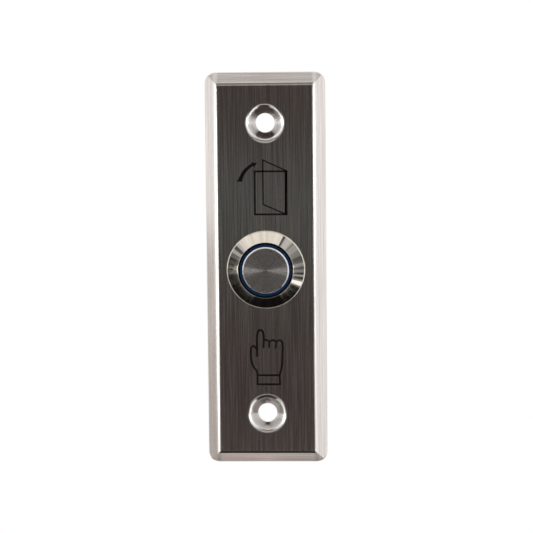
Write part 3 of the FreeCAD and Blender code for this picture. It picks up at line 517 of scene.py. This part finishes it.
def moulding(name, dark, bright, rough, depth=0.006 * MM, milky=0.0, shine=0.5):
    """A moulded plastic or rubber with a spark-eroded skin and cloudy colour."""
    finish, tree, shader = start_finish(name, bright, 0.0, rough[0], {
        "Subsurface Weight": milky, "Subsurface Radius": (0.0008, 0.0006, 0.0004),
        "Specular IOR Level": shine})
    cloud = noise(tree, (500, 500, 500), detail=4.0)
    tree.links.new(shades(tree, cloud, (0.35, dark), (0.65, bright)), shader.inputs["Base Color"])
    skin = noise(tree, (4000, 4000, 4000), detail=2.0)
    tree.links.new(spread(tree, skin, *rough), shader.inputs["Roughness"])
    raise_surface(tree, shader, skin, depth)
    return finish


def printed_board():
    """Green lamp board with its copper lands under the lacquer."""
    finish, tree, shader = start_finish("printed board", (0.01, 0.12, 0.05), 0.0, 0.3, {"Coat Weight": 0.5})
    lands = node(tree, "ShaderNodeTexVoronoi", {"Vector": piece_place(tree), "Scale": 900.0},
                 feature="DISTANCE_TO_EDGE").outputs["Distance"]
    tree.links.new(shades(tree, lands, (0.05, (0.008, 0.09, 0.04)), (0.12, (0.02, 0.19, 0.08))),
                   shader.inputs["Base Color"])
    weave = noise(tree, (8000, 8000, 1500), detail=2.0)
    tree.links.new(spread(tree, weave, 0.25, 0.4), shader.inputs["Roughness"])
    raise_surface(tree, shader, weave, 0.003 * MM)
    return finish


# Pieces.

def shell_turning(finish, barrel_finish):
    """Flange and barrel, turned in one piece, with small breaks on the sharp edges."""
    profile = (
        (BORE_R, CROWN_Y), (CROWN_R, CROWN_Y), (FLANGE_R - FLANGE_EDGE, CONE_FOOT_Y),
        (FLANGE_R, CONE_FOOT_Y + FLANGE_EDGE), (FLANGE_R, FLANGE_BACK_Y), (THREAD_R, FLANGE_BACK_Y),
        (THREAD_R, NECK_END_Y), (THREAD_ROOT_R, NECK_END_Y + NECK_RUN_OUT),
        (THREAD_ROOT_R, BARREL_END_Y - BARREL_CHAMFER), (THREAD_ROOT_R - BARREL_CHAMFER, BARREL_END_Y),
        (SOCKET_R, BARREL_END_Y), (SOCKET_R, WEB_END_Y), (GUIDE_R, WEB_END_Y), (GUIDE_R, WEB_Y),
        (BORE_R, WEB_Y))
    shell = draw_line("shell_turning", [(radius, station, 0) for radius, station in profile])
    turn_round(SHELL_STEPS)
    apply_modifier(shell, "BEVEL", width=EDGE_BREAK, segments=3, limit_method="ANGLE",
                   angle_limit=radians(20))
    dress(shell, finish, "base")
    shell.data.materials.append(barrel_finish)
    for face in shell.data.polygons:
        if face.center.y > FLANGE_BACK_Y + 0.1 * MM:
            face.material_index = 1
    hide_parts("switch_shell")


def barrel_thread(finish):
    """The thread's ridge, wound up the barrel and cut off square at its end."""
    corners = [(radius, THREAD_START_Y + share * THREAD_PITCH, 0) for radius, share in THREAD_RIDGE]
    thread = draw_line("barrel_thread", corners)
    apply_modifier(thread, "SCREW", axis="Y", angle=2 * pi, screw_offset=THREAD_PITCH,
                   iterations=THREAD_TURNS, steps=THREAD_STEPS, render_steps=THREAD_STEPS,
                   use_merge_vertices=True, merge_threshold=THREAD_WELD)
    edit_all(thread)
    bpy.ops.mesh.bisect(plane_co=(0, THREAD_CUT_Y, 0), plane_no=(0, 1, 0), use_fill=False, clear_outer=True)
    close_ends()
    dress(thread, finish, "base")


def return_coil(finish):
    """Coil spring of round wire between the clip and the lamp board."""
    corners = []
    for side in range(WIRE_SIDES):
        turn = 2 * pi * side / WIRE_SIDES
        corners.append((COIL_R + WIRE_R * cos(turn), COIL_TOP_Y + WIRE_R * (1 + sin(turn)), 0))
    coil = draw_line("return_coil", corners)
    length = COIL_END_Y - COIL_TOP_Y
    apply_modifier(coil, "SCREW", axis="Y", angle=2 * pi * COIL_TURNS, screw_offset=length - 2 * WIRE_R,
                   iterations=1, steps=COIL_STEPS, render_steps=COIL_STEPS)
    edit_all(coil)
    close_ends()
    dress(coil, finish, "base", radians(60))
    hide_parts("return_spring")
    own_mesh(coil)


# Printed signs, in millimetres on the plate's face.
INK_SUNK = 0.01 * MM
INK_PROUD = 0.02 * MM
DOOR_OPENING = ((-2.70, 23.04), (5.16, 23.02), (5.12, 12.61), (-2.68, 12.63))
DOOR_LINE = 0.43
HINGE_LINE = 0.22
HINGE_SIDE_X = 3.0
HINGE_CORNERS_Z = ((12.8, 13.2), (22.0, 22.8))
DOOR_LEAF = ((-0.70, 25.70), (5.02, 23.02), (4.74, 12.66), (-0.70, 15.05))
LEAF_LINE = 0.31
SWING_ARROW = (
    (-6.68, 20.48), (-6.11, 21.30), (-5.57, 22.44), (-4.74, 23.50), (-3.80, 24.27), (-3.10, 24.66),
    (-3.40, 25.02), (-2.67, 24.83), (-1.86, 24.82), (-2.28, 24.26), (-2.52, 23.62), (-2.78, 24.16),
    (-3.70, 23.46), (-4.47, 22.62), (-5.02, 21.76), (-5.21, 21.13), (-5.33, 20.48))
HAND_LINE = 0.23
HAND_STROKES = (
    ((-2.27, -20.5), (-2.22, -15.25), (-2.03, -14.57), (-1.49, -14.17), (-0.96, -14.53), (-0.77, -15.2),
     (-0.79, -18.41)),
    ((-0.78, -16.53), (0.05, -16.58), (0.56, -16.93), (1.41, -16.56), (2.22, -16.94), (2.95, -16.59),
     (3.46, -16.85), (3.64, -17.51), (3.62, -20.1), (3.51, -22.36), (3.24, -23.87), (2.93, -24.81)),
    ((0.56, -16.93), (0.55, -18.41)),
    ((2.23, -16.94), (2.05, -18.51)),
    ((-2.27, -18.55), (-2.61, -18.38), (-3.28, -17.95), (-3.64, -18.33), (-3.75, -19.13), (-3.71, -20.71),
     (-3.46, -22.06), (-2.98, -23.15), (-2.31, -24.02), (-2.27, -24.85)))
CUFF = ((-2.46, -24.66), (3.12, -24.62), (3.25, -27.23), (-2.48, -27.21))
CUFF_LINE = 0.44


def on_face(point):
    """A printed sign's corner, in millimetres, as a place just inside the plate's face."""
    return point[0] * MM, FACE_Y + INK_SUNK, point[1] * MM


def thicken_ink(piece, finish):
    """Give a flat printed shape its film of ink, close it and dress it."""
    bpy.ops.mesh.select_all(action="SELECT")
    bpy.ops.mesh.extrude_region_move(TRANSFORM_OT_translate={"value": (0, -INK_SUNK - INK_PROUD, 0)})
    face_outwards()
    dress(piece, finish, "base")


def printed_frame(name, corners, line):
    """A four-sided printed outline of even line width, in edit mode until it is thickened."""
    piece = draw_line(name, [on_face(corner) for corner in corners], filled=True)
    bpy.ops.mesh.inset(thickness=line * MM)
    bpy.ops.mesh.delete(type="FACE")
    return piece


def at_hinge(place):
    """Whether a place is one of the doorway's two inner corners on its hinge side."""
    at_corner = any(low * MM < place.z < high * MM for low, high in HINGE_CORNERS_Z)
    return place.x > HINGE_SIDE_X * MM and at_corner


def door_sign(finish):
    """A doorway, its leaf swung open, and the arrow of its swing."""
    opening = printed_frame("sign_doorway", DOOR_OPENING, DOOR_LINE)
    select_points(opening, at_hinge)
    bpy.ops.transform.translate(value=(-HINGE_LINE * MM, 0, 0))
    thicken_ink(opening, finish)
    leaf = printed_frame("sign_door_leaf", DOOR_LEAF, LEAF_LINE)
    thicken_ink(leaf, finish)
    arrow = draw_line("sign_swing_arrow", [on_face(corner) for corner in SWING_ARROW], filled=True)
    thicken_ink(arrow, finish)


def pen_stroke(name, stroke, finish):
    """One stroke of a round pen through its points, pressed flat to a film of ink."""
    pen = bpy.data.curves.new(name, "CURVE")
    pen.dimensions = "3D"
    pen.bevel_depth = HAND_LINE * MM
    pen.bevel_resolution = 2
    pen.resolution_u = 6
    pen.use_fill_caps = True
    line = pen.splines.new("BEZIER")
    line.bezier_points.add(len(stroke) - 1)
    for point, place in zip(line.bezier_points, stroke):
        point.co = (place[0] * MM, FACE_Y, place[1] * MM)
        point.handle_left_type = "AUTO"
        point.handle_right_type = "AUTO"
    piece = bpy.data.objects.new(name, pen)
    bpy.context.collection.objects.link(piece)
    take(piece)
    bpy.ops.object.convert(target="MESH")
    piece = bpy.context.object
    edit_all(piece)
    bpy.ops.transform.resize(value=(1, INK_PROUD / (HAND_LINE * MM), 1), center_override=(0, FACE_Y, 0))
    bpy.ops.mesh.remove_doubles(threshold=WELD_REACH)
    face_outwards()
    dress(piece, finish, "base")


def hand_sign(finish):
    """A pointing hand and its cuff, drawn with one pen."""
    cuff = printed_frame("sign_cuff", CUFF, CUFF_LINE)
    thicken_ink(cuff, finish)
    for number, stroke in enumerate(HAND_STROKES, 1):
        pen_stroke(f"sign_hand_{number}", stroke, finish)


# Stage, lights and camera.

# Cards that the face mirrors: name, polar angles, round angles, reach and colour. Angles are in degrees, the
# polar ones from the direction that the face mirrors to the camera, the round ones from the right upwards.
FACE_CARDS = (
    ("card_hood", (0, 67), (0, 360), 0.95, (0.049, 0.039, 0.037)),
    ("card_glow", (0, 5.5), (15, 165), 0.94, (0.085, 0.096, 0.088)),
    ("card_glow_low", (0, 2.6), (165, 375), 0.94, (0.084, 0.078, 0.073)),
    ("card_over", (16, 40), (62, 118), 0.93, (0.37, 0.35, 0.33)),
    ("card_over_high", (40, 67), (62, 118), 0.93, (0.20, 0.185, 0.17)),
    ("card_table", (15, 30), (235, 305), 0.45, (0.45, 0.42, 0.39)),
    ("card_below", (26, 67), (246, 296), 0.23, (0.035, 0.03, 0.028)))

# Panels on both sides, for the side bends and the dimples: polar angles, round angles, reach and level.
SIDE_PANELS = (
    ((42, 67), (-64, -46), 0.33, 0.9),
    ((42, 67), (-46, -22), 0.34, 1.1),
    ((42, 67), (-22, 2), 0.35, 1.08),
    ((42, 67), (2, 34), 0.9, 1.06),
    ((42, 67), (34, 48), 0.91, 0.9),
    ((42, 67), (48, 62), 0.92, 0.6),
    ((42, 67), (118, 132), 0.92, 0.6),
    ((42, 67), (132, 146), 0.91, 0.9),
    ((42, 67), (146, 212), 0.9, 1.06),
    ((42, 67), (212, 230), 0.34, 0.85),
    ((42, 67), (230, 246), 0.33, 0.5),
    ((17, 25), (-18, 34), 0.86, 0.14),
    ((25, 33), (-18, 40), 0.87, 0.38),
    ((33, 42), (-18, 48), 0.88, 0.7),
    ((33, 42), (-55, -18), 0.32, 0.6),
    ((17, 25), (146, 198), 0.86, 0.14),
    ((25, 33), (140, 198), 0.87, 0.38),
    ((33, 42), (132, 198), 0.88, 0.7),
    ((33, 42), (198, 235), 0.32, 0.5))
PANEL_TINT = (1, 0.985, 0.965)

# What the turned flange mirrors beside the camera: from angle, to angle and level.
FLANGE_STRIPES = (
    (-42, -33, 0.02), (-33, -30, 0.25), (-30, -23, 1.3), (-23, -20, 0.3), (-20, -15, 0.07), (-15, -12, 0.4),
    (-12, -8, 0.05), (-8, -3, 0.22), (-3, 2, 0.12), (2, 8, 0.28), (8, 12, 0.15), (12, 20, 0.11),
    (20, 30, 0.25), (30, 40, 0.40), (40, 44, 0.28), (44, 58, 0.60), (58, 62, 0.11), (138, 144, 0.55),
    (144, 150, 0.12), (150, 156, 0.5), (156, 163, 0.16), (163, 168, 0.04), (168, 172, 0.10),
    (172, 178, 0.05), (178, 181, 0.16), (181, 184, 0.03), (184, 190, 0.12), (190, 206, 0.025))
STRIPE_POLAR = (67, 74.5)
STRIPE_REACH = 0.3
STRIPE_TINT = (1, 1.02, 1.1)

# What the bezel's foot, the end bevels and the cap's edge mirror, laid out as the face's cards.
EDGE_CARDS = (
    ("card_under", (67, 76.5), (206, 318), 0.22, (0.006, 0.006, 0.006)),
    ("card_bottom", (76.5, 85), (235, 305), 0.21, (0.70, 0.64, 0.60)),
    ("card_low_edge", (85, 98), (230, 310), 0.23, (0.02, 0.03, 0.05)),
    ("card_top", (75, 88), (60, 120), 0.9, (0.55, 0.53, 0.515)),
    ("card_left_low", (76, 92), (183, 228), 0.9, (0.5, 0.47, 0.44)))

# A card's fineness: degrees between its cuts along the polar angle, and between its steps round.
CARD_CUT = 4
CARD_STEP = 5

# Soft lights on both sides: name, round angle and height.
SOFT_LIGHTS = (("light_right", 0, 0.16), ("light_left", 180, 0.2))
LIGHT_POLAR = 52
LIGHT_REACH = 0.8
LIGHT_WIDTH = 0.44
LIGHT_RADIANCE = 4.0

# Floor: its radius, its height and where it fades to white.
FLOOR_R = 0.55
FLOOR_Z = -0.25
FLOOR_FADE = (0.15, 0.5)


def direction(polar, round_angle):
    """The direction at these two angles, given in degrees."""
    axis = Vector((-TO_CAMERA.x, TO_CAMERA.y, -TO_CAMERA.z))
    across = Vector((cos(CAMERA_AZIMUTH), -sin(CAMERA_AZIMUTH), 0))
    side = across * cos(radians(round_angle)) + axis.cross(across) * sin(radians(round_angle))
    return axis * cos(radians(polar)) + side * sin(radians(polar))


def grey_paper(name, colour):
    """Paper that glows in one colour, for the metal to mirror."""
    paper = bpy.data.materials.new(name)
    paper.use_nodes = True
    paper.node_tree.nodes.clear()
    glow = node(paper.node_tree, "ShaderNodeEmission", {"Color": (*colour, 1), "Strength": 1.0})
    node(paper.node_tree, "ShaderNodeOutputMaterial", {"Surface": glow.outputs[0]})
    return paper


def mirror_card(name, polar, round_angle, reach, colour):
    """A card bent round the mirror direction, seen by reflections only."""
    low, high = polar
    start, end = round_angle
    cuts = max(2, int((high - low) / CARD_CUT))
    steps = max(6, int((end - start) / CARD_STEP))
    corners = [direction(low + (high - low) * cut / cuts, start) * reach for cut in range(cuts + 1)]
    card = draw_line(name, corners, closed=False)
    turn_round(steps, radians(start - end), direction(0, 0))
    card.data.materials.append(grey_paper(name, colour))
    card.visible_camera = False
    card.visible_diffuse = False
    card.visible_shadow = False
    card.visible_transmission = False


def soft_light(name, round_angle, height):
    """A flat soft light that looks at the button."""
    lamp = bpy.data.lights.new(name, "AREA")
    lamp.shape = "RECTANGLE"
    lamp.size = LIGHT_WIDTH
    lamp.size_y = height
    lamp.energy = LIGHT_RADIANCE * pi * LIGHT_WIDTH * height
    light = bpy.data.objects.new(name, lamp)
    bpy.context.collection.objects.link(light)
    light.location = direction(LIGHT_POLAR, round_angle) * LIGHT_REACH
    light.rotation_euler = light.location.to_track_quat("Z", "Y").to_euler()
    light.visible_camera = False


def white_studio():
    """White all round for the eye and for reflections, and a plain level for the rest."""
    world = bpy.data.worlds.new("studio")
    bpy.context.scene.world = world
    world.use_nodes = True
    tree = world.node_tree
    tree.nodes.clear()
    path = node(tree, "ShaderNodeLightPath")
    seen = greatest(tree, path.outputs["Is Camera Ray"], path.outputs["Is Glossy Ray"],
                    path.outputs["Is Transmission Ray"])
    plain = node(tree, "ShaderNodeBackground", {"Color": (0.7, 0.7, 0.7, 1), "Strength": 1.0})
    white = node(tree, "ShaderNodeBackground", {"Color": (1, 1, 1, 1), "Strength": 1.0})
    mix = node(tree, "ShaderNodeMixShader", {0: seen, 1: plain.outputs[0], 2: white.outputs[0]})
    node(tree, "ShaderNodeOutputWorld", {"Surface": mix.outputs[0]})


def pale_floor():
    """Floor under the plate, fading to white at its border."""
    deselect_all()
    bpy.ops.mesh.primitive_circle_add(vertices=64, radius=FLOOR_R, fill_type="NGON",
                                      location=(0, 0, FLOOR_Z))
    floor = bpy.context.object
    floor.name = "floor"
    bpy.ops.object.transform_apply(location=True)
    paint, tree, shader = start_finish("pale floor", (0.8, 0.8, 0.79), 0.0, 0.8)
    from_middle = vector_maths(tree, "MULTIPLY", piece_place(tree), (1, 1, 0))
    reach = vector_maths(tree, "LENGTH", from_middle)
    path = node(tree, "ShaderNodeLightPath")
    fade = product(tree, spread(tree, reach, 0.0, 1.0, *FLOOR_FADE), path.outputs["Is Camera Ray"])
    white = node(tree, "ShaderNodeEmission", {"Color": (1, 1, 1, 1), "Strength": 1.0})
    mix = node(tree, "ShaderNodeMixShader", {0: fade, 1: shader.outputs[0], 2: white.outputs[0]})
    tree.links.new(mix.outputs[0], tree.nodes["Material Output"].inputs["Surface"])
    floor.data.materials.append(paint)


def set_camera():
    """The camera at the photograph's place, turned and rolled as there."""
    camera = bpy.data.objects.new("camera", bpy.data.cameras.new("camera"))
    bpy.context.collection.objects.link(camera)
    camera.location = AIM + TO_CAMERA * CAMERA_DISTANCE
    camera.rotation_mode = "QUATERNION"
    turn = (-TO_CAMERA).to_track_quat("-Z", "Y")
    right = turn @ Vector((1, 0, 0))
    up = turn @ Vector((0, 1, 0))
    tilted_up = up * cos(CAMERA_ROLL) - right * sin(CAMERA_ROLL)
    tilted_right = right * cos(CAMERA_ROLL) + up * sin(CAMERA_ROLL)
    camera.rotation_quaternion = Matrix((tilted_right, tilted_up, TO_CAMERA)).transposed().to_quaternion()
    camera.data.lens = CAMERA_LENS
    camera.data.sensor_width = CAMERA_SENSOR
    camera.data.clip_start = CAMERA_NEAR
    camera.data.clip_end = CAMERA_FAR
    bpy.context.scene.camera = camera


def light_the_studio():
    """The white studio and its floor, the cards that the metal mirrors, and a soft light on either side."""
    white_studio()
    pale_floor()
    for card in FACE_CARDS:
        mirror_card(*card)
    for number, (polar, round_angle, reach, level) in enumerate(SIDE_PANELS, 1):
        colour = [level * part for part in PANEL_TINT]
        mirror_card(f"card_panel_{number}", polar, round_angle, reach, colour)
    for number, (start, end, level) in enumerate(FLANGE_STRIPES, 1):
        colour = [level * part for part in STRIPE_TINT]
        mirror_card(f"card_stripe_{number}", STRIPE_POLAR, (start, end), STRIPE_REACH, colour)
    for card in EDGE_CARDS:
        mirror_card(*card)
    for light in SOFT_LIGHTS:
        soft_light(*light)


def make_finishes():
    """Each material slot's finish, by the slot's name in model.glb."""
    return {
        "plate_steel": brushed_plate(),
        "bezel_steel": turned_bezel(),
        "cap_steel": spun_cap(),
        "ring_blue": blue_guide(),
        "seal_rubber": moulding("seal rubber", (0.012, 0.012, 0.012), (0.03, 0.03, 0.03), (0.6, 0.8)),
        "spring_steel": plain_metal("spring steel", (0.30, 0.29, 0.28), (0.50, 0.49, 0.47)),
        "nut_plated": plain_metal("plated nut", (0.50, 0.48, 0.44), (0.68, 0.65, 0.60), (600, 900, 600),
                                  (0.2, 0.36)),
        "carrier_white": moulding("white nylon", (0.66, 0.65, 0.61), (0.78, 0.77, 0.73), (0.35, 0.5),
                                  milky=0.1),
        "contact_metal": plain_metal("contact metal", (0.52, 0.44, 0.28), (0.80, 0.72, 0.52),
                                     (1200, 400, 1200), (0.2, 0.38)),
        "board_green": printed_board(),
        "lamp_body": moulding("lamp body", (0.70, 0.68, 0.50), (0.85, 0.84, 0.70), (0.2, 0.35), milky=0.3),
        "resistor_black": moulding("resistor body", (0.015, 0.015, 0.016), (0.04, 0.04, 0.045), (0.25, 0.4)),
        "housing_black": moulding("black housing", (0.012, 0.012, 0.013), (0.032, 0.032, 0.034),
                                  (0.42, 0.6), 0.012 * MM),
        "base_blue": moulding("blue base", (0.010, 0.045, 0.17), (0.018, 0.075, 0.26), (0.38, 0.55),
                              0.01 * MM)}


def main():
    """Set the stage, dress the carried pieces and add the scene's own."""
    bpy.context.scene.view_settings.view_transform = "Standard"
    set_camera()
    light_the_studio()
    finishes = make_finishes()
    thread = cut_thread()
    ink = moulding("sign ink", (0.004, 0.003, 0.003), (0.010, 0.008, 0.008), (0.5, 0.65), 0.001 * MM,
                   shine=0.05)
    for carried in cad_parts.values():
        for slot in carried.material_slots:
            slot.material = finishes[slot.material.name.split(".")[0]]
    shell_turning(finishes["bezel_steel"], thread)
    barrel_thread(thread)
    return_coil(finishes["spring_steel"])
    door_sign(ink)
    hand_sign(ink)


main()
